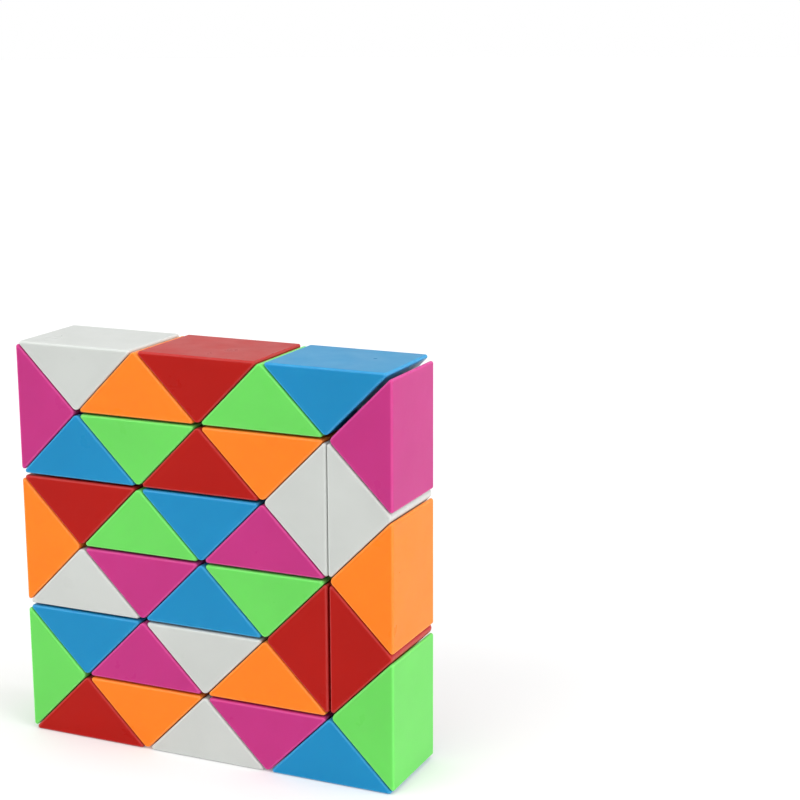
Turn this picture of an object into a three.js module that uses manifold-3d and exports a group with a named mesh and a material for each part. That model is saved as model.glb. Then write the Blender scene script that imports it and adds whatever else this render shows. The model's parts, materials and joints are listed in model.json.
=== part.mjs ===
// A folding snake puzzle: 36 hollow right-isosceles wedges in one chain, each joined to the next
// by a spring bolt through the middle of their square faces, folded flat into a square block.
// Millimetres, +Z up. The block stands on its lower edge with its front towards -Y.

import * as THREE from 'three';
import { ConvexGeometry } from 'three/addons/geometries/ConvexGeometry.js';
import { mergeVertices } from 'three/addons/utils/BufferGeometryUtils.js';
import Module from 'manifold-3d';

const wasm = await Module();
wasm.setup();

// ---------------------------------------------------------------- driving dimensions

const PITCH = 20;                       // leg of a wedge, and its depth: the side of its square faces
const HYPOTENUSE = PITCH * Math.SQRT2;

const JOINT_GAP = 0.3;                  // between two joined square faces
const PACKING_GAP = 0.45;               // between hypotenuse faces that only lie side by side
const CLOSING_GAP = 0.8;                // between the first and the last wedge's free square faces
const EDGE_CHAMFER = 0.8;
const WALL = 1.6;

const BOLT_RADIUS = 1.3;
const BOLT_HOLE_RADIUS = 1.65;
const BOLT_HEAD_RADIUS = 2.5;
const BOLT_HEAD_HEIGHT = 1.1;
const BOLT_HEAD_DEPTH = 3.6;            // from the joint plane to the underside of the head
const BOLT_THREAD_LENGTH = 4.3;         // from the joint plane into the next wedge's boss
const BOSS_RADIUS = 2.7;
const BOSS_HEIGHT = 4.6;                // from the joint plane
const ROUND_SEGMENTS = 12;

// How each wedge is turned against the one before it: S goes straight on, R goes round the same corner.
const FOLD = 'SSSS' + 'RR' + 'SSS' + 'RR' + 'SSS' + 'RR' + 'SSS' + 'RR' + 'SSS' + 'RR' + 'SSSS' + 'R' + 'SSSS';

const COLOURS = [
  ['blue', 0x2b8fc8],
  ['green', 0x62d95c],
  ['red', 0xc2241d],
  ['orange', 0xff8a2e],
  ['white', 0xe2e4de],
  ['magenta', 0xd03a84],
];

const STEEL = new THREE.MeshStandardMaterial({ color: 0xb9bcc0, roughness: 0.35, metalness: 1 });

// ---------------------------------------------------------------- solids

/** A closed geometry as a solid that can be joined and cut. */
function solid(geometry) {
  geometry.deleteAttribute('normal');
  geometry.deleteAttribute('uv');
  const merged = mergeVertices(geometry, 1e-4);
  return new wasm.Manifold(new wasm.Mesh({
    numProp: 3,
    vertProperties: merged.attributes.position.array,
    triVerts: new Uint32Array(merged.index.array),
  }));
}

function geometryOf(body) {
  const { vertProperties, triVerts } = body.getMesh();
  const geometry = new THREE.BufferGeometry();
  geometry.setAttribute('position', new THREE.BufferAttribute(vertProperties, 3));
  geometry.setIndex(new THREE.BufferAttribute(triVerts, 1));
  return geometry;
}

/** The corners of the triangle between the lines x = outlet, y = inlet and x + y = slope. */
function triangleCorners(outlet, inlet, slope) {
  return [
    new THREE.Vector2(outlet, inlet),
    new THREE.Vector2(slope - inlet, inlet),
    new THREE.Vector2(outlet, slope - outlet),
  ];
}

/** The same triangle with each corner cut off, the cut distance along both of its sides. */
function bluntTriangle(outlet, inlet, slope, cut) {
  const corners = triangleCorners(outlet, inlet, slope);
  return corners.flatMap((corner, i) => [(i + 2) % 3, (i + 1) % 3].map((other) => (
    corner.clone().add(corners[other].clone().sub(corner).setLength(cut))
  )));
}

/** A wedge's outer body, centred on z = 0, with every edge chamfered. */
function outerBody(outlet, inlet, slope) {
  const inset = EDGE_CHAMFER;
  const middle = bluntTriangle(outlet, inlet, slope, EDGE_CHAMFER);
  const end = bluntTriangle(outlet + inset, inlet + inset, slope - inset * Math.SQRT2, EDGE_CHAMFER);
  const raised = (outline, z) => outline.map((point) => new THREE.Vector3(point.x, point.y, z));
  return solid(new ConvexGeometry([-1, 1].flatMap((side) => [
    ...raised(middle, side * (PITCH / 2 - EDGE_CHAMFER)),
    ...raised(end, side * PITCH / 2),
  ])));
}

/** A plain prism on a triangle, centred on z = 0. */
function prism(corners, depth) {
  const geometry = new THREE.ExtrudeGeometry(new THREE.Shape(corners), { depth, bevelEnabled: false });
  geometry.translate(0, 0, -depth / 2);
  return solid(geometry);
}

/** A solid of revolution about y, from [radius, y] pairs that start and end on the axis. */
function turned(profile) {
  return new THREE.LatheGeometry(profile.map(([r, y]) => new THREE.Vector2(r, y)), ROUND_SEGMENTS);
}

function rod(radius, from, to) {
  return turned([[0, from], [radius, from], [radius, to], [0, to]]);
}

// Every round part lies on the axis of one of the two square faces. In a wedge's own frame its
// right-angled edge is the z axis, the face towards the wedge before it lies on y = 0 (inlet) and
// the face towards the next wedge lies on x = 0 (outlet).

function onInletAxis(geometry) {
  return geometry.translate(PITCH / 2, 0, 0);
}

function onOutletAxis(geometry) {
  return geometry.rotateZ(-Math.PI / 2).translate(0, PITCH / 2, 0);
}

/** The bolt stands on the inlet axis: its thread points into the wedge, its head is in the wedge before. */
function boltGeometry() {
  const underside = -BOLT_HEAD_DEPTH;
  const top = underside - BOLT_HEAD_HEIGHT;
  return onInletAxis(turned([
    [0, top],
    [BOLT_HEAD_RADIUS, top],
    [BOLT_HEAD_RADIUS, underside],
    [BOLT_RADIUS, underside],
    [BOLT_RADIUS, BOLT_THREAD_LENGTH],
    [0, BOLT_THREAD_LENGTH],
  ]));
}

/** A hollow wedge. isFirst and isLast wedges have a free square face, which stands further back. */
function wedgeGeometry(isFirst, isLast, pinned) {
  const outlet = (isLast ? CLOSING_GAP : JOINT_GAP) / 2;
  const inlet = (isFirst ? CLOSING_GAP : JOINT_GAP) / 2;
  const slope = PITCH - PACKING_GAP / 2 * Math.SQRT2;
  const innerCorners = triangleCorners(outlet + WALL, inlet + WALL, slope - WALL * Math.SQRT2);
  const hollow = prism(innerCorners, PITCH - 2 * WALL);
  const boss = solid(onInletAxis(rod(BOSS_RADIUS, inlet + WALL / 2, BOSS_HEIGHT)));
  const outletHole = solid(onOutletAxis(rod(BOLT_HOLE_RADIUS, -1, outlet + 2 * WALL)));
  const shell = outerBody(outlet, inlet, slope).subtract(hollow).add(boss).subtract(outletHole);
  if (pinned) return geometryOf(shell.add(solid(boltGeometry())));
  return geometryOf(shell.subtract(solid(onInletAxis(rod(BOLT_HOLE_RADIUS, -1, BOSS_HEIGHT + 1)))));
}

// ---------------------------------------------------------------- the folded chain

/** A point of the block's plan in mm from columns (to the right) and rows (downwards from the top). */
function place([column, row]) {
  const lowestFace = PACKING_GAP / 2;
  return new THREE.Vector3((column - 1.5) * HYPOTENUSE, 0, (3 - row) * HYPOTENUSE - lowestFace);
}

/** The right-angled corner and the two sharp corners of each wedge, in columns and rows. */
function foldedChain() {
  const chain = [{ corner: [2.5, 0.5], inlet: [3, 0], outlet: [2, 0] }];
  for (const turn of FOLD) {
    const { corner, inlet, outlet } = chain.at(-1);
    const opposite = (centre) => [0, 1].map((i) => centre[i] + corner[i] - inlet[i]);
    chain.push(turn === 'S'
      ? { corner: outlet, inlet: corner, outlet: opposite(outlet) }
      : { corner, inlet: outlet, outlet: opposite(corner) });
  }
  return chain;
}

/** Moves an object from a wedge's own frame to its place in the folded block. */
function settle(object, { corner, inlet, outlet }) {
  const origin = place(corner);
  const x = place(inlet).sub(origin).normalize();
  const y = place(outlet).sub(origin).normalize();
  const frame = new THREE.Matrix4().makeBasis(x, y, x.clone().cross(y)).setPosition(origin);
  object.applyMatrix4(frame);
  return object;
}

function named(name, geometry, material) {
  const mesh = new THREE.Mesh(geometry, material);
  mesh.name = name;
  return mesh;
}

const twoDigits = (number) => String(number).padStart(2, '0');

function buildSnake() {
  const snake = new THREE.Group();
  foldedChain().forEach((spot, i, chain) => {
    const [colourName, colour] = COLOURS[i % COLOURS.length];
    const turn = FOLD[i - 1];
    const shell = wedgeGeometry(i === 0, i === chain.length - 1, turn === 'R');
    const plastic = new THREE.MeshStandardMaterial({ color: colour, roughness: 0.3, metalness: 0 });
    snake.add(settle(named(`wedge_${twoDigits(i + 1)}_${colourName}`, shell, plastic), spot));
    if (turn === 'S') {
      const name = `spring_bolt_${twoDigits(i)}`;
      snake.add(settle(named(name, boltGeometry(), STEEL.clone()), spot));
    }
  });
  return snake;
}

export default buildSnake();
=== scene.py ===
"""The looks of the folding snake puzzle: 36 hollow plastic wedges, the sprung screws between them, the
floor, the light and the camera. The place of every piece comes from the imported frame. Metres, +Z up."""

import json
import math

import bpy
from mathutils import Matrix, Vector
from mathutils.geometry import tessellate_polygon


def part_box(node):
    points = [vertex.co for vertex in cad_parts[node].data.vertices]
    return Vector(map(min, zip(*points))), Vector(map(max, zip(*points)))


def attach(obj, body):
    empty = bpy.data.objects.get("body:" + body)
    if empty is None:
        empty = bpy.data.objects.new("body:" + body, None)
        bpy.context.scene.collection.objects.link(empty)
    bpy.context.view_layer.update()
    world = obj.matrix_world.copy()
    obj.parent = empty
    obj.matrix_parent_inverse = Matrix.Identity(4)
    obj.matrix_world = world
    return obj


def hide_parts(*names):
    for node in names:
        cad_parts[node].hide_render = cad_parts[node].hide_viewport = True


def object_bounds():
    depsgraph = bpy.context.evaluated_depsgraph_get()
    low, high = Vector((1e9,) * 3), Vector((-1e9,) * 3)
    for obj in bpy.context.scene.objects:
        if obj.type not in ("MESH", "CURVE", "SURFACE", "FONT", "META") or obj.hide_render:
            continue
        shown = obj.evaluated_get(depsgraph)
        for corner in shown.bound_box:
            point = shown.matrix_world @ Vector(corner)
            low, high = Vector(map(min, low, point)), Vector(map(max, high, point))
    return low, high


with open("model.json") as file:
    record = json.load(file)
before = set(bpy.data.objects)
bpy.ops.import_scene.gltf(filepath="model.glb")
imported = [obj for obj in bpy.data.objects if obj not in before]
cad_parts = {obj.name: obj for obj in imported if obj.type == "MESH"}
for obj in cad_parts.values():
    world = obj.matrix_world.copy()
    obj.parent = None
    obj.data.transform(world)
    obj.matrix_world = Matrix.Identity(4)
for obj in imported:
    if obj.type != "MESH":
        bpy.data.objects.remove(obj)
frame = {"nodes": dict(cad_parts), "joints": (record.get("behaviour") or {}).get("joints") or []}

CAD_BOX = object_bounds()
MM = 0.001

# ------------------------------------------------------------------ the wedge's own measures

WEDGE_COUNT = 36
JOINT_GAP = 0.16 * MM            # between two joined square faces
PACKING_GAP = 0.45 * MM          # between hypotenuse faces that lie side by side
CLOSE_GAP = 0.12 * MM            # the same, for the one pair that lies closer together
CLOSE_WEDGES = (11, 35)
CLOSING_GAP = 0.8 * MM           # between the first and the last wedge's free square faces
WALL = 1.6 * MM

RIM_RADIUS = 0.5 * MM            # where a triangular end turns into the sides
RIM_STEPS = 5
CORNER_RADIUS = 1.2 * MM         # along the right-angled edge
TIP_RADIUS = 0.46 * MM           # along the two sharp edges
FACE_CORNER_RADIUS = 0.12 * MM   # what is left of them where the triangular end is flat
CORNER_STEPS = 6
TIP_STEPS = 9

PILOT_RADIUS = 1.42 * MM         # bore of the boss that takes the screw's thread
CLEARANCE_RADIUS = 1.65 * MM     # bore of the wall that the screw turns in
BORE_LIP = 0.18 * MM             # the rounded edge of both bores
LIP_MIDWAY = 0.293               # 1 - cos 45 degrees
BOSS_RADIUS = 2.7 * MM
BOSS_TOP = 4.6 * MM              # from the joint plane
ROUND_STEPS = 28

# ------------------------------------------------------------------ screw, washer and spring
# What lies along the screw's axis is measured from the joint plane.

SHANK_RADIUS = 1.25 * MM
THREAD_ROOT_RADIUS = 1.02 * MM
THREAD_CREST_RADIUS = 1.36 * MM
THREAD_PITCH = 0.75 * MM
THREAD_FLANK = 2.6               # how steeply the ridge rises: 2 would leave no flat root
THREAD_RINGS = 6                 # rings of points in each turn of the thread
THREAD_START = 0.5 * MM
THREAD_END = 4.1 * MM
SCREW_TIP = 4.5 * MM
SCREW_TIP_TAPER = 0.6
HEAD_UNDERSIDE = -3.6 * MM
HEAD_TOP = -4.7 * MM
HEAD_RADIUS = 2.5 * MM
HEAD_EDGE = 0.35 * MM
SLOT_LENGTH = 1.3 * MM           # of the cross recess, from the axis
SLOT_WIDTH = 0.34 * MM
SLOT_DEPTH = 0.62 * MM
SLOT_TAPER = 0.62

WASHER_THICKNESS = 0.4 * MM
WASHER_BORE = 1.42 * MM
WASHER_RADIUS = 2.35 * MM
WASHER_EDGE = 0.08 * MM

SPRING_WIRE = 0.2 * MM           # radius of the wire
SPRING_RADIUS = 1.88 * MM
SPRING_TURNS = 2.6
SPRING_STEPS = 64
SPRING_SEAT = 0.25               # of a turn, lying flat at each end
WIRE_SIDES = 8
SEAT_GAP = 0.03 * MM

# ------------------------------------------------------------------ colours and light

PLASTICS = {                     # linear colour, and how much brighter the painted highlight makes a rounded edge
    "blue": ((0.0095, 0.218, 0.432), 1.14),
    "green": ((0.131, 0.553, 0.100), 1.06),
    "red": ((0.368, 0.0058, 0.0030), 1.05),
    "orange": ((0.800, 0.198, 0.0137), 1.05),
    "white": ((0.489, 0.507, 0.486), 1.0),
    "magenta": ((0.446, 0.030, 0.190), 1.14),
}
EDGE_HIGHLIGHT_LIFT = 0.035                # how much white the painted highlight adds to a rounded edge
PLASTIC_BUMP = 0.04 * MM

SCREW_STEEL = (0.60, 0.61, 0.63)
WASHER_STEEL = (0.52, 0.53, 0.56)
SPRING_STEEL = (0.44, 0.45, 0.48)
STEEL_BUMP = 0.01 * MM

CAMERA_AZIMUTH = math.radians(24.023)
CAMERA_ELEVATION = math.radians(12.714)
CAMERA_ROLL = math.radians(-0.204)
CAMERA_PLACE = Vector((0.17732, -0.30959, 0.15358))
CAMERA_LENS = 81.47

AMBIENT = 0.8                    # strength of the light from all round
BACKDROP = 1.0                   # brightness of what the camera sees behind everything
SUNS = (                         # name, azimuth and elevation, strength, apparent size; degrees
    ("front_light", -28, 30, 1.15, 50),
    ("top_light", 40, 72, 0.7, 60),
    ("side_light", 82, 25, 1.65, 50),
)
FLOOR_TONES = (0.69, 0.71)
FLOOR_GLOW = 0.15                # keeps the shadows on the floor faint
FLOOR_RINGS = (0.2, 0.8, 4.0)
FLOOR_SIDES = 64
FLOOR_GAP = 0.05 * MM            # below the block


def joint(number):
    """The place and axis of the swivel between a wedge and the next."""
    name = f"swivel_{number:02d}"
    found = next(j for j in frame["joints"] if j["name"] == name)
    return Vector(found["pos_m"]), Vector(found["axis"]).normalized()


LEG = (joint(1)[0] - joint(2)[0]).length * math.sqrt(2)
HALF_DEPTH = (CAD_BOX[1].y - CAD_BOX[0].y) / 2


def body_name(number):
    return f"wedge_{number:02d}"


def node_name(number):
    """The CAD node of a wedge's shell: its body's name with the colour after it."""
    start = body_name(number) + "_"
    return next(n for n in frame["nodes"] if n.startswith(start))


def wedge_frame(number):
    """The matrix from a wedge's own frame to its place: its right-angled edge is the z axis, the face
    towards the wedge before lies on y = 0, the face towards the next wedge on x = 0."""
    is_last = number == WEDGE_COUNT
    place, axis = joint(number - 1 if is_last else number)
    low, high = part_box(node_name(number))
    middle = (low + high) / 2
    along = axis.cross(Vector((0, 1, 0)))
    corners = [place + along * side * LEG / 2 for side in (-1, 1)]
    corner = min(corners, key=lambda c: (c - middle).length)
    to_joint = (place - corner).normalized()
    into = axis if axis.dot(middle - corner) > 0 else -axis
    x, y = (to_joint, into) if is_last else (into, to_joint)
    return Matrix.Translation(corner) @ Matrix((x, y, x.cross(y))).transposed().to_4x4()


# ------------------------------------------------------------------ mesh building


class Skin:
    """Points, faces and a normal for each corner of each face, gathered in a piece's own frame."""

    def __init__(self):
        self.points, self.faces, self.normals, self.glow = [], [], [], []

    def point(self, place, glow=0.0):
        self.points.append(Vector(place))
        self.glow.append(glow)
        return len(self.points) - 1

    def face(self, corners, normals):
        """normals is one vector for a flat face, or one for each corner."""
        if isinstance(normals, Vector):
            normals = [normals] * len(corners)
        self.faces.append(list(corners))
        self.normals.append(list(normals))

    def flat(self, corners):
        a, b, c = (self.points[i] for i in corners[:3])
        self.face(corners, (b - a).cross(c - a).normalized())

    def strip(self, first, second, normals_first, normals_second):
        """A band of quads between two rings of points."""
        for i in range(len(first)):
            j = (i + 1) % len(first)
            self.face(
                (first[i], first[j], second[j], second[i]),
                [normals_first[i], normals_first[j], normals_second[j], normals_second[i]],
            )

    def plate(self, outer, inner, normal):
        """A flat face with one hole: outer and inner are its two rims."""
        rims = [[self.points[i] for i in rim] for rim in (outer, inner)]
        indices = list(outer) + list(inner)
        for triangle in tessellate_polygon(rims):
            corners = [indices[i] for i in triangle]
            a, b, c = (self.points[i] for i in corners)
            if (b - a).cross(c - a).dot(normal) < 0:
                corners.reverse()
            self.face(corners, normal)

    def object(self, name, placing, material):
        mesh = bpy.data.meshes.new(name)
        mesh.from_pydata([placing @ p for p in self.points], [], self.faces)
        mesh.polygons.foreach_set("use_smooth", [True] * len(self.faces))
        turn = placing.to_3x3()
        corners = [(turn @ n).normalized() for normals in self.normals for n in normals]
        mesh.normals_split_custom_set(corners)
        # how far into a rounded edge each point lies: it sets where the painted highlight and the polish
        # go
        glow = mesh.attributes.new("rounded_edge", "FLOAT", "POINT")
        glow.data.foreach_set("value", self.glow)
        mesh.materials.append(material)
        mesh.update()
        made = bpy.data.objects.new(name, mesh)
        bpy.context.scene.collection.objects.link(made)
        return made


def circle(steps):
    """Directions all the way round, as (cosine, sine)."""
    angles = [2 * math.pi * i / steps for i in range(steps)]
    return [(math.cos(angle), math.sin(angle)) for angle in angles]


class Lathe:
    """Rings of points round an axis along y through x = centre, or with swap along x through
    y = centre, added to a skin one after another."""

    def __init__(self, skin, centre, swap=False):
        self.skin, self.centre, self.swap = skin, centre, swap

    def _turn(self, along, across, up):
        return Vector((along, across, up)) if self.swap else Vector((across, along, up))

    def ring(self, radius, along):
        return [
            self.skin.point(self._turn(along, self.centre + radius * c, radius * s))
            for c, s in circle(ROUND_STEPS)
        ]

    def directions(self, outward, along):
        around = circle(ROUND_STEPS)
        return [self._turn(along, outward * c, outward * s).normalized() for c, s in around]

    def band(self, first, second, normal_first, normal_second=None):
        """Joins two rings. A normal is (outward, along), the same all the way round."""
        a = self.directions(*normal_first)
        b = self.directions(*(normal_second or normal_first))
        corners = [self.skin.points[i] for i in (first[0], first[1], second[1])]
        out = (corners[1] - corners[0]).cross(corners[2] - corners[1])
        if out.dot(a[0] + b[0]) < 0:
            first, second, a, b = second, first, b, a
        self.skin.strip(first, second, a, b)


# ------------------------------------------------------------------ the wedge


def outline(outlet, inlet, slope, share):
    """The rounded triangle between x = outlet, y = inlet and x + y = slope, as (point, normal, glow).
    share says how much of the corners' own radius is left."""
    tip = TIP_RADIUS * share + FACE_CORNER_RADIUS * (1 - share)
    square = CORNER_RADIUS * share + FACE_CORNER_RADIUS * (1 - share)
    corners = (
        (Vector((outlet, inlet)), square, CORNER_STEPS, 180, 270),
        (Vector((slope - inlet, inlet)), tip, TIP_STEPS, 270, 405),
        (Vector((outlet, slope - outlet)), tip, TIP_STEPS, 45, 180),
    )
    found = []
    for corner, radius, steps, start, end in corners:
        middle = math.radians((start + end) / 2)
        half_angle = math.radians(180 - (end - start)) / 2
        centre = corner - Vector((math.cos(middle), math.sin(middle))) * radius / math.sin(half_angle)
        for step in range(steps + 1):
            angle = math.radians(start + (end - start) * step / steps)
            normal = Vector((math.cos(angle), math.sin(angle)))
            found.append((centre + normal * radius, normal, math.sin(math.pi * step / steps)))
    return found


def rounded_rows(skin, outlet, inlet, slope):
    """The rings of points, with their normals, from one triangular end over the sides to the other."""
    rows = []
    for side in (-1, 1):
        for step in range(RIM_STEPS + 1):
            lift = math.pi / 2 * (step if side > 0 else RIM_STEPS - step) / RIM_STEPS
            flat, upright = math.cos(lift), math.sin(lift)
            inset = RIM_RADIUS * (1 - flat)
            z = side * (HALF_DEPTH - RIM_RADIUS * (1 - upright))
            ring = outline(
                outlet + inset, inlet + inset, slope - inset * math.sqrt(2), 1 - inset / RIM_RADIUS
            )
            rim_glow = math.sin(2 * lift)
            rows.append((
                [skin.point((p.x, p.y, z), max(rim_glow, glow * flat)) for p, _, glow in ring],
                [Vector((n.x * flat, n.y * flat, side * upright)) for _, n, _ in ring],
            ))
    return rows


def outer_skin(skin, outlet, inlet, slope):
    """The outside of the wedge, without its two square faces. Returns the rims of those two."""
    rows = rounded_rows(skin, outlet, inlet, slope)
    square_faces = CORNER_STEPS, len(rows[0][0]) - 1     # where they start along a ring
    rims = []
    for row, ((low, low_normals), (high, high_normals)) in enumerate(zip(rows, rows[1:])):
        for i in range(len(low)):
            j = (i + 1) % len(low)
            corners = (low[i], low[j], high[j], high[i])
            if row == RIM_STEPS and i in square_faces:
                rims.append(list(corners))
            else:
                skin.face(corners, [low_normals[i], low_normals[j], high_normals[j], high_normals[i]])
    skin.face(rows[-1][0], Vector((0, 0, 1)))
    skin.face(rows[0][0][::-1], Vector((0, 0, -1)))
    return rims


def cavity(skin, outlet, inlet, slope):
    """The triangular hollow, its faces turned inwards. Returns the rims of its two square faces."""
    outlet, inlet, slope = outlet + WALL, inlet + WALL, slope - WALL * math.sqrt(2)
    half = HALF_DEPTH - WALL
    corners = ((outlet, inlet), (slope - inlet, inlet), (outlet, slope - outlet))
    low, high = ([skin.point((x, y, z)) for x, y in corners] for z in (-half, half))
    skin.face(low, Vector((0, 0, 1)))
    skin.face(high[::-1], Vector((0, 0, -1)))
    skin.flat((low[2], low[1], high[1], high[2]))
    return [low[0], high[0], high[1], low[1]], [low[0], low[2], high[2], high[0]]


def bore_lip(lathe, plane, radius):
    """The rounded edge where a bore opens in a square face: returns its wide and its narrow ring."""
    midway = BORE_LIP * LIP_MIDWAY
    wide = lathe.ring(radius + BORE_LIP, plane)
    middle = lathe.ring(radius + midway, plane + midway)
    narrow = lathe.ring(radius, plane + BORE_LIP)
    lathe.band(wide, middle, (0, -1), (-1, -1))
    lathe.band(middle, narrow, (-1, -1), (-1, 0))
    return wide, narrow


def threaded_boss(skin, inlet, outer_rim, inner_rim):
    """The inlet face, with the boss behind it that takes the screw."""
    lathe = Lathe(skin, LEG / 2)
    wide, bore = bore_lip(lathe, inlet, PILOT_RADIUS)
    skin.plate(outer_rim, wide, Vector((0, -1, 0)))
    bore_top = lathe.ring(PILOT_RADIUS, BOSS_TOP)
    boss_top = lathe.ring(BOSS_RADIUS, BOSS_TOP)
    boss_foot = lathe.ring(BOSS_RADIUS, inlet + WALL)
    lathe.band(bore, bore_top, (-1, 0))
    lathe.band(bore_top, boss_top, (0, 1))
    lathe.band(boss_top, boss_foot, (1, 0))
    skin.plate(inner_rim, boss_foot, Vector((0, 1, 0)))


def clearance_bore(skin, outlet, outer_rim, inner_rim):
    """The outlet face, with the bore that the next wedge's screw turns in."""
    lathe = Lathe(skin, LEG / 2, swap=True)
    wide, bore = bore_lip(lathe, outlet, CLEARANCE_RADIUS)
    skin.plate(outer_rim, wide, Vector((-1, 0, 0)))
    bore_end = lathe.ring(CLEARANCE_RADIUS, outlet + WALL)
    lathe.band(bore, bore_end, (-1, 0))
    skin.plate(inner_rim, bore_end, Vector((1, 0, 0)))


def wedge_skin(number):
    outlet = (CLOSING_GAP if number == WEDGE_COUNT else JOINT_GAP) / 2
    inlet = (CLOSING_GAP if number == 1 else JOINT_GAP) / 2
    slope = LEG - (CLOSE_GAP if number in CLOSE_WEDGES else PACKING_GAP) / 2 * math.sqrt(2)
    skin = Skin()
    inlet_rim, outlet_rim = outer_skin(skin, outlet, inlet, slope)
    inner_inlet_rim, inner_outlet_rim = cavity(skin, outlet, inlet, slope)
    threaded_boss(skin, inlet, inlet_rim, inner_inlet_rim)
    clearance_bore(skin, outlet, outlet_rim, inner_outlet_rim)
    return skin


# ------------------------------------------------------------------ screw, washer, spring
# All three stand on the y axis of their own frame, with the joint plane at y = 0.


def thread_radius(along, turn):
    """Radius of the threaded shank at a height and an angle, with the ridge running out at both ends."""
    phase = ((along - THREAD_START) / THREAD_PITCH - turn) % 1.0
    ridge = max(0.0, 1 - abs(phase - 0.5) * THREAD_FLANK)
    reach = min(along - THREAD_START, THREAD_END - along) / THREAD_PITCH
    ridge *= min(1.0, max(0.0, reach))
    return THREAD_ROOT_RADIUS + (THREAD_CREST_RADIUS - THREAD_ROOT_RADIUS) * ridge


def cross_outline(scale):
    """The plus-shaped rim of the recess in the head, as (x, z) points."""
    long, short = SLOT_LENGTH * scale, SLOT_WIDTH * scale
    quarter = ((short, short), (short, long), (-short, long))
    points = []
    for turn in range(4):
        c, s = round(math.cos(turn * math.pi / 2)), round(math.sin(turn * math.pi / 2))
        points += [(x * c - z * s, x * s + z * c) for x, z in quarter]
    return points


def screw_head(skin, lathe):
    """The head with its recess. Returns the ring where the shank meets it."""
    rim = lathe.ring(HEAD_RADIUS - HEAD_EDGE, HEAD_TOP)
    waist = lathe.ring(HEAD_RADIUS, HEAD_TOP + HEAD_EDGE)
    edge = lathe.ring(HEAD_RADIUS, HEAD_UNDERSIDE)
    neck = lathe.ring(SHANK_RADIUS, HEAD_UNDERSIDE)
    top = [skin.point((x, HEAD_TOP, z)) for x, z in cross_outline(1)]
    floor = [skin.point((x, HEAD_TOP + SLOT_DEPTH, z)) for x, z in cross_outline(SLOT_TAPER)]
    skin.plate(rim, top, Vector((0, -1, 0)))
    for i in range(len(top)):
        j = (i + 1) % len(top)
        skin.flat((top[i], top[j], floor[j], floor[i])[::-1])
    skin.face(floor[::-1], Vector((0, -1, 0)))
    lathe.band(rim, waist, (0, -1), (1, 0))
    lathe.band(waist, edge, (1, 0))
    lathe.band(edge, neck, (0, 1))
    return neck


def thread_ring(skin, along):
    ring = []
    for i, (c, s) in enumerate(circle(ROUND_STEPS)):
        radius = thread_radius(along, i / ROUND_STEPS)
        ring.append(skin.point((radius * c, along, radius * s)))
    return ring


def screw_skin():
    skin = Skin()
    lathe = Lathe(skin, 0.0)
    neck = screw_head(skin, lathe)
    shoulder = lathe.ring(SHANK_RADIUS, 0.0)
    rows = [lathe.ring(THREAD_ROOT_RADIUS, THREAD_START)]
    lathe.band(neck, shoulder, (1, 0))
    lathe.band(shoulder, rows[0], (1, 0.4))
    length = THREAD_END - THREAD_START
    count = round(length / THREAD_PITCH * THREAD_RINGS)
    for step in range(1, count + 1):
        rows.append(thread_ring(skin, THREAD_START + length * step / count))
    for low, high in zip(rows, rows[1:]):
        lathe.band(low, high, (1, 0))
    tip = lathe.ring(THREAD_ROOT_RADIUS * SCREW_TIP_TAPER, SCREW_TIP)
    lathe.band(rows[-1], tip, (1, 0.8))
    skin.face(tip[::-1], Vector((0, 1, 0)))
    return skin


def washer_skin():
    skin = Skin()
    lathe = Lathe(skin, 0.0)
    bottom, top = HEAD_UNDERSIDE + SEAT_GAP, HEAD_UNDERSIDE + WASHER_THICKNESS
    profile = (
        (WASHER_BORE, bottom), (WASHER_BORE, top),
        (WASHER_RADIUS - WASHER_EDGE, top), (WASHER_RADIUS, top - WASHER_EDGE),
        (WASHER_RADIUS, bottom + WASHER_EDGE), (WASHER_RADIUS - WASHER_EDGE, bottom),
    )
    rings = [lathe.ring(radius, along) for radius, along in profile]
    normals = ((-1, 0), (0, 1), (1, 1), (1, 0), (1, -1), (0, -1))
    for i, normal in enumerate(normals):
        lathe.band(rings[i], rings[(i + 1) % len(rings)], normal)
    return skin


def spring_centres():
    """Points along the middle of the spring's wire: a helix that lies flat for a stretch at each end."""
    low = HEAD_UNDERSIDE + WASHER_THICKNESS + SPRING_WIRE + SEAT_GAP
    high = -(JOINT_GAP / 2 + WALL) - SPRING_WIRE - SEAT_GAP
    seat = SPRING_SEAT / SPRING_TURNS
    centres = []
    for step in range(SPRING_STEPS + 1):
        share = step / SPRING_STEPS
        rise = min(1.0, max(0.0, (share - seat) / (1 - 2 * seat)))
        angle = 2 * math.pi * SPRING_TURNS * share
        centres.append(Vector((
            SPRING_RADIUS * math.cos(angle), low + (high - low) * rise, SPRING_RADIUS * math.sin(angle)
        )))
    return centres


def spring_skin():
    """A short compression spring between the wedge's wall and the washer."""
    skin = Skin()
    centres = spring_centres()
    rings, normals = [], []
    for i, centre in enumerate(centres):
        ahead = centres[min(i + 1, SPRING_STEPS)] - centres[max(i - 1, 0)]
        outward = Vector((centre.x, 0, centre.z)).normalized()
        upward = outward.cross(ahead).normalized()
        around = [outward * c + upward * s for c, s in circle(WIRE_SIDES)]
        rings.append([skin.point(centre + d * SPRING_WIRE) for d in around])
        normals.append(around)
    for i in range(SPRING_STEPS):
        skin.strip(rings[i + 1], rings[i], normals[i + 1], normals[i])
    skin.flat(rings[0])
    skin.flat(rings[-1][::-1])
    return skin


# ------------------------------------------------------------------ materials


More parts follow.
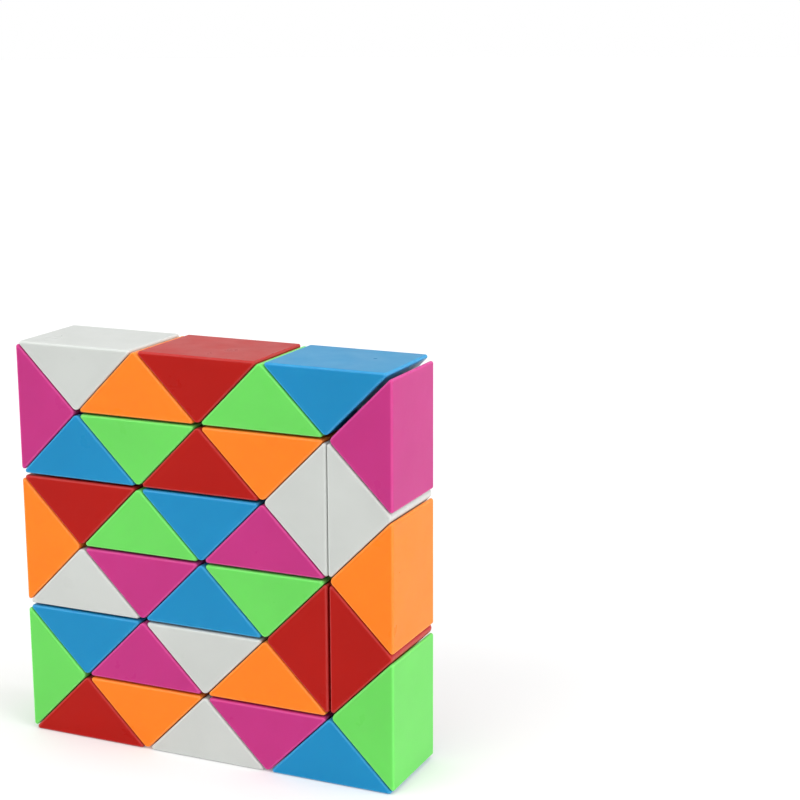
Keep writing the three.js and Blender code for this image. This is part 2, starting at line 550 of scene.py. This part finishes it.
class Shader:
    """A material's node tree with short ways to add what is used here."""

    def __init__(self, name, **constants):
        self.material = bpy.data.materials.new(name)
        self.material.use_nodes = True
        self.tree = self.material.node_tree
        self.surface = self.tree.nodes["Principled BSDF"]
        self.coordinates = self.tree.nodes.new("ShaderNodeTexCoord")
        for socket, value in constants.items():
            self.surface.inputs[socket.replace("_", " ")].default_value = value

    def link(self, source, target):
        self.tree.links.new(source, target)

    def noise(self, scale, detail=2.0, stretch=None):
        node = self.tree.nodes.new("ShaderNodeTexNoise")
        node.inputs["Scale"].default_value = scale
        node.inputs["Detail"].default_value = detail
        source = self.coordinates.outputs["Object"]
        if stretch:
            mapping = self.tree.nodes.new("ShaderNodeMapping")
            mapping.inputs["Scale"].default_value = stretch
            mapping.inputs["Rotation"].default_value = (0.4, 0.7, 0.3)
            self.link(source, mapping.inputs["Vector"])
            source = mapping.outputs["Vector"]
        self.link(source, node.inputs["Vector"])
        return node.outputs["Fac"]

    def remap(self, source, to_low, to_high, low=0.3, high=0.7):
        """Spreads low to high, which is where most of a noise lies, over to_low to to_high."""
        node = self.tree.nodes.new("ShaderNodeMapRange")
        limits = {"From Min": low, "From Max": high, "To Min": to_low, "To Max": to_high}
        for socket, value in limits.items():
            node.inputs[socket].default_value = value
        self.link(source, node.inputs["Value"])
        return node.outputs["Result"]

    def mix(self, factor, first, second):
        node = self.tree.nodes.new("ShaderNodeMix")
        node.data_type = "RGBA"
        self.link(factor, node.inputs[0])
        for socket, value in ((node.inputs[6], first), (node.inputs[7], second)):
            if isinstance(value, tuple):
                socket.default_value = (*value, 1)
            else:
                self.link(value, socket)
        return node.outputs[2]

    def combine(self, operation, first, second):
        node = self.tree.nodes.new("ShaderNodeMath")
        node.operation = operation
        for socket, value in zip(node.inputs, (first, second)):
            if isinstance(value, (int, float)):
                socket.default_value = value
            else:
                self.link(value, socket)
        return node.outputs[0]

    def attribute(self, name):
        node = self.tree.nodes.new("ShaderNodeAttribute")
        node.attribute_name = name
        return node.outputs["Fac"]

    def bump(self, height, distance, strength):
        node = self.tree.nodes.new("ShaderNodeBump")
        node.inputs["Distance"].default_value = distance
        node.inputs["Strength"].default_value = strength
        self.link(height, node.inputs["Height"])
        self.link(node.outputs["Normal"], self.surface.inputs["Normal"])

    def set(self, socket, source):
        self.link(source, self.surface.inputs[socket])


def scaled(colour, factor, lift=0.0):
    return tuple(min(1.0, c * factor + lift) for c in colour)


def plastic(name, colour, edge_highlight_gain):
    """Moulded ABS with a soft shine: faint flow marks in the colour, a fine mould texture, hairline
    scuffs in the gloss, and rounded edges that are polished and carry a painted highlight, a brighter and
    a little paler colour."""
    shader = Shader(
        name, IOR=1.46, Specular_IOR_Level=0.12, Subsurface_Weight=0.9,
        Subsurface_Scale=1.2 * MM, Subsurface_Radius=(1, 1, 1),
    )
    edge = shader.attribute("rounded_edge")
    flow = shader.remap(shader.noise(70, 3), 0, 1)
    body = shader.mix(flow, scaled(colour, 0.965), scaled(colour, 1.03))
    # painted highlight: the rounded edges get a brighter, paler base colour, broken up by noise, in place
    # of the light's shine on them
    painted_highlight_mask = shader.combine("MULTIPLY", edge, shader.remap(shader.noise(260, 2), 0.75, 1))
    shader.set("Base Color", shader.mix(painted_highlight_mask, body, scaled(colour, edge_highlight_gain, EDGE_HIGHLIGHT_LIFT)))
    gloss = shader.remap(shader.noise(160, 4), 0.27, 0.36)
    scuffs = shader.remap(shader.noise(900, 2, stretch=(0.02, 1, 1)), 0, 0.02, low=0.66, high=0.78)
    polish = shader.combine("MULTIPLY", edge, -0.05)
    shader.set("Roughness", shader.combine("ADD", shader.combine("ADD", gloss, scuffs), polish))
    grain = shader.combine("MULTIPLY", shader.noise(5200, 1), 0.1)
    shader.bump(shader.combine("ADD", shader.noise(420, 2), grain), PLASTIC_BUMP, 0.35)
    return shader.material


def steel(name, tone, brushing):
    """Bright steel with a fine drawn grain."""
    shader = Shader(name, Metallic=1.0)
    grain = shader.noise(2400, 3, stretch=brushing)
    shader.set("Base Color", shader.mix(grain, scaled(tone, 0.82), scaled(tone, 1.08)))
    shader.set("Roughness", shader.remap(grain, 0.26, 0.44))
    shader.bump(grain, STEEL_BUMP, 0.4)
    return shader.material


# ------------------------------------------------------------------ putting the snake together


def build_wedges():
    finishes = {
        name: plastic(f"{name}_plastic", colour, edge_highlight_gain)
        for name, (colour, edge_highlight_gain) in PLASTICS.items()
    }
    for number in range(1, WEDGE_COUNT + 1):
        node = node_name(number)
        colour = node.rsplit("_", 1)[1]
        skin = wedge_skin(number)
        shell = skin.object(f"shell_{number:02d}_{colour}", wedge_frame(number), finishes[colour])
        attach(shell, body_name(number))
        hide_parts(node)


def build_fasteners():
    """The screw of each joint with its washer and spring. Screw and washer turn with the wedge that the
    screw is screwed into, and the spring sits in the wedge before."""
    kinds = (
        ("screw", screw_skin(), steel("zinc_plated_screw", SCREW_STEEL, (1, 0.2, 1)), 1),
        ("washer", washer_skin(), steel("stamped_washer", WASHER_STEEL, (1, 1, 0.3)), 1),
        ("spring", spring_skin(), steel("spring_wire", SPRING_STEEL, (0.3, 1, 1)), 0),
    )
    for number in range(1, WEDGE_COUNT):
        placing = wedge_frame(number + 1) @ Matrix.Translation((LEG / 2, 0, 0))
        for kind, skin, finish, ahead in kinds:
            piece = skin.object(f"{kind}_{number:02d}", placing, finish)
            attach(piece, body_name(number + ahead))
            node = f"spring_bolt_{number:02d}"
            if kind == "screw" and node in frame["nodes"]:
                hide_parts(node)


# ------------------------------------------------------------------ floor, light and camera


def build_floor():
    skin = Skin()
    up = [Vector((0, 0, 1))] * FLOOR_SIDES
    rings = [
        [skin.point((radius * c, radius * s, 0)) for c, s in circle(FLOOR_SIDES)]
        for radius in FLOOR_RINGS
    ]
    skin.face(rings[0], up)
    for inner, outer in zip(rings, rings[1:]):
        skin.strip(outer, inner, up, up)
    shader = Shader(
        "pale_floor", Roughness=0.9, IOR=1.2,
        Emission_Color=(1, 1, 1, 1), Emission_Strength=FLOOR_GLOW,
    )
    greys = [(tone, tone, tone) for tone in FLOOR_TONES]
    shader.set("Base Color", shader.mix(shader.remap(shader.noise(6, 3), 0, 1), *greys))
    below = Matrix.Translation((0, 0, CAD_BOX[0].z - FLOOR_GAP))
    skin.object("floor", below, shader.material)


def direction(azimuth, elevation):
    """The way from the object to a light or the camera. Azimuth 0 is in front, at -Y, and 90 at +X."""
    flat = math.cos(elevation)
    return Vector((math.sin(azimuth) * flat, -math.cos(azimuth) * flat, math.sin(elevation)))


def build_lights():
    for name, azimuth, elevation, strength, size in SUNS:
        light = bpy.data.lights.new(name, "SUN")
        light.energy = strength
        light.angle = math.radians(size)
        lamp = bpy.data.objects.new(name, light)
        away = direction(math.radians(azimuth), math.radians(elevation))
        lamp.rotation_mode = "QUATERNION"
        lamp.rotation_quaternion = away.to_track_quat("Z", "Y")
        bpy.context.scene.collection.objects.link(lamp)


def build_world():
    """An even white backdrop, and a softer even light from all round."""
    world = bpy.data.worlds.new("studio")
    world.use_nodes = True
    tree = world.node_tree
    tree.nodes.clear()
    output = tree.nodes.new("ShaderNodeOutputWorld")
    choice = tree.nodes.new("ShaderNodeMixShader")
    path = tree.nodes.new("ShaderNodeLightPath")
    tree.links.new(path.outputs["Is Camera Ray"], choice.inputs[0])
    for slot, strength in ((1, AMBIENT), (2, BACKDROP)):
        background = tree.nodes.new("ShaderNodeBackground")
        background.inputs["Color"].default_value = (1, 1, 1, 1)
        background.inputs["Strength"].default_value = strength
        tree.links.new(background.outputs[0], choice.inputs[slot])
    tree.links.new(choice.outputs[0], output.inputs["Surface"])
    bpy.context.scene.world = world


def build_camera():
    data = bpy.data.cameras.new("camera")
    data.lens = CAMERA_LENS
    data.sensor_width = 36.0
    data.clip_start, data.clip_end = 0.01, 20.0
    camera = bpy.data.objects.new("camera", data)
    back = direction(CAMERA_AZIMUTH, CAMERA_ELEVATION)
    level = Vector((0, 0, 1)).cross(back).normalized()
    upright = back.cross(level)
    c, s = math.cos(CAMERA_ROLL), math.sin(CAMERA_ROLL)
    turn = Matrix((c * level + s * upright, c * upright - s * level, back)).transposed()
    camera.matrix_world = Matrix.Translation(CAMERA_PLACE) @ turn.to_4x4()
    bpy.context.scene.collection.objects.link(camera)
    bpy.context.scene.camera = camera


build_camera()
build_wedges()
build_fasteners()
build_floor()
build_lights()
build_world()
bpy.context.scene.view_settings.view_transform = "Standard"
